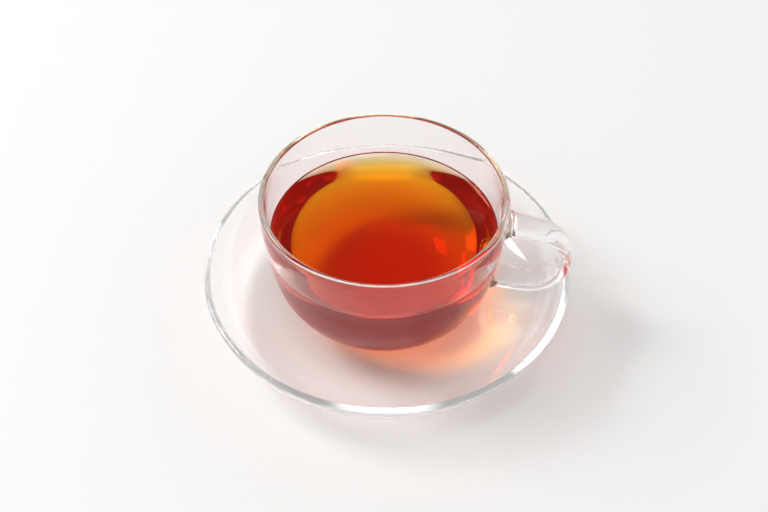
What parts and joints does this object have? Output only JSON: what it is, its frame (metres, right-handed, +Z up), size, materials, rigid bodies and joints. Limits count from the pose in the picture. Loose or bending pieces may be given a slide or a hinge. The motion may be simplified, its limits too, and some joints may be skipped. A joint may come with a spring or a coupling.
{
  "type": "glass cup of tea",
  "caption": "Thin clear glass cup with a flat looped strap handle, part filled with red-amber tea, standing on a matching clear glass saucer.",
  "frame": {"origin": "centre of the saucer's plain underside, on the surface that it stands on", "axes": "+Z up, +X along the cup's handle, away from the bowl"},
  "size_m": [0.14, 0.14, 0.0571],
  "materials": {
    "cup_glass": "clear, fire polished",
    "saucer_glass": "clear, pressed and fire polished",
    "tea": "clear deep amber-red liquid"
  },
  "bodies": {
    "root": {"cup": "cup_glass", "saucer": "saucer_glass", "tea": "tea"}
  },
  "joints": []
}
